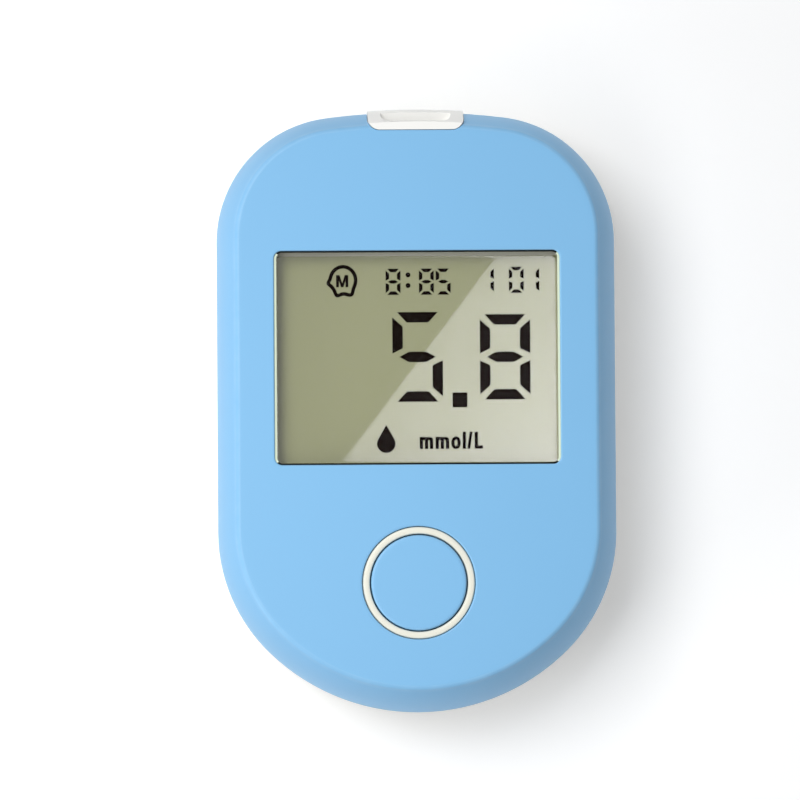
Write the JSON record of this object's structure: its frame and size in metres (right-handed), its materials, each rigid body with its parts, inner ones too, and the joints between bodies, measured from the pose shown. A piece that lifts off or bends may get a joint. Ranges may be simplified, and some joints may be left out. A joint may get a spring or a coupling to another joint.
{
  "type": "blood glucose meter",
  "caption": "Hand-held test-strip meter: rounded two-shell case, segment display, round button in a ring, strip port at the top, cells under a sliding rear door.",
  "frame": {"origin": "middle of the rest plane, under the middle of the meter", "axes": "+Z out of the display face, +Y towards the strip port, +X to the right when the display is read"},
  "size_m": [0.058, 0.088, 0.0211],
  "materials": {
    "cover_blue": "fine matte moulding texture",
    "cover_white": "fine matte moulding texture",
    "port_white": "satin",
    "ring_cream": "satin",
    "window_clear": "polished",
    "tape_black": "matte",
    "polariser": "satin film",
    "lcd_glass": "polished",
    "lcd_dark": "satin",
    "seal_resin": "satin",
    "reflector_foil": "satin foil",
    "frame_white": "matte",
    "zebra_rubber": "matte",
    "board_green": "solder mask",
    "connector_black": "matte",
    "contact_gold": "gold flash",
    "chip_black": "matte",
    "can_steel": "brushed",
    "spring_steel": "nickel plate",
    "part_ceramic": "matte",
    "cell_sleeve": "gloss",
    "screw_steel": "zinc plate"
  },
  "bodies": {
    "housing": {"front_cover": "cover_blue", "rear_cover": "cover_white", "port_insert": "port_white", "button_ring": "ring_cream", "display_window": "window_clear", "window_tape": "tape_black", "front_polariser": "polariser", "lcd_front_glass": "lcd_glass", "lcd_segments": "lcd_dark", "lcd_seal": "seal_resin", "lcd_rear_glass": "lcd_glass", "lcd_reflector": "reflector_foil", "lcd_frame": "frame_white", "zebra_strips": "zebra_rubber", "main_board": "board_green", "strip_connector": "connector_black", "strip_contacts": "contact_gold", "processor": "chip_black", "signal_chip": "chip_black", "memory_chip": "chip_black", "clock_crystal": "can_steel", "buzzer": "connector_black", "board_parts": "part_ceramic", "switch_base": "connector_black", "switch_plate": "can_steel", "switch_dome": "spring_steel", "switch_pins": "spring_steel", "cell_left": "can_steel", "cell_right": "can_steel", "cell_jackets": "cell_sleeve", "battery_springs": "spring_steel", "terminal_plates": "spring_steel", "bridge_plate": "spring_steel", "cover_screws": "screw_steel", "board_screws": "screw_steel"},
    "door": {"battery_door": "cover_white"},
    "button": {"button_cap": "cover_blue"},
    "plunger": {"switch_plunger": "connector_black"}
  },
  "joints": [
    {"name": "button_press", "type": "slide", "parent": "housing", "child": "button", "axis": [0, 0, -1], "range_m": [0, 0.0005], "stiffness_N_per_m": 1500},
    {"name": "switch_press", "type": "slide", "parent": "housing", "child": "plunger", "axis": [0, 0, -1], "range_m": [0, 0.0005], "deforming": ["switch_dome"]},
    {"name": "door_slide", "type": "slide", "parent": "housing", "child": "door", "axis": [0, -1, 0], "range_m": [0, 0.06]}
  ],
  "couplings": [
    {"joint": "switch_press", "follows": "button_press", "ratio": 1}
  ]
}
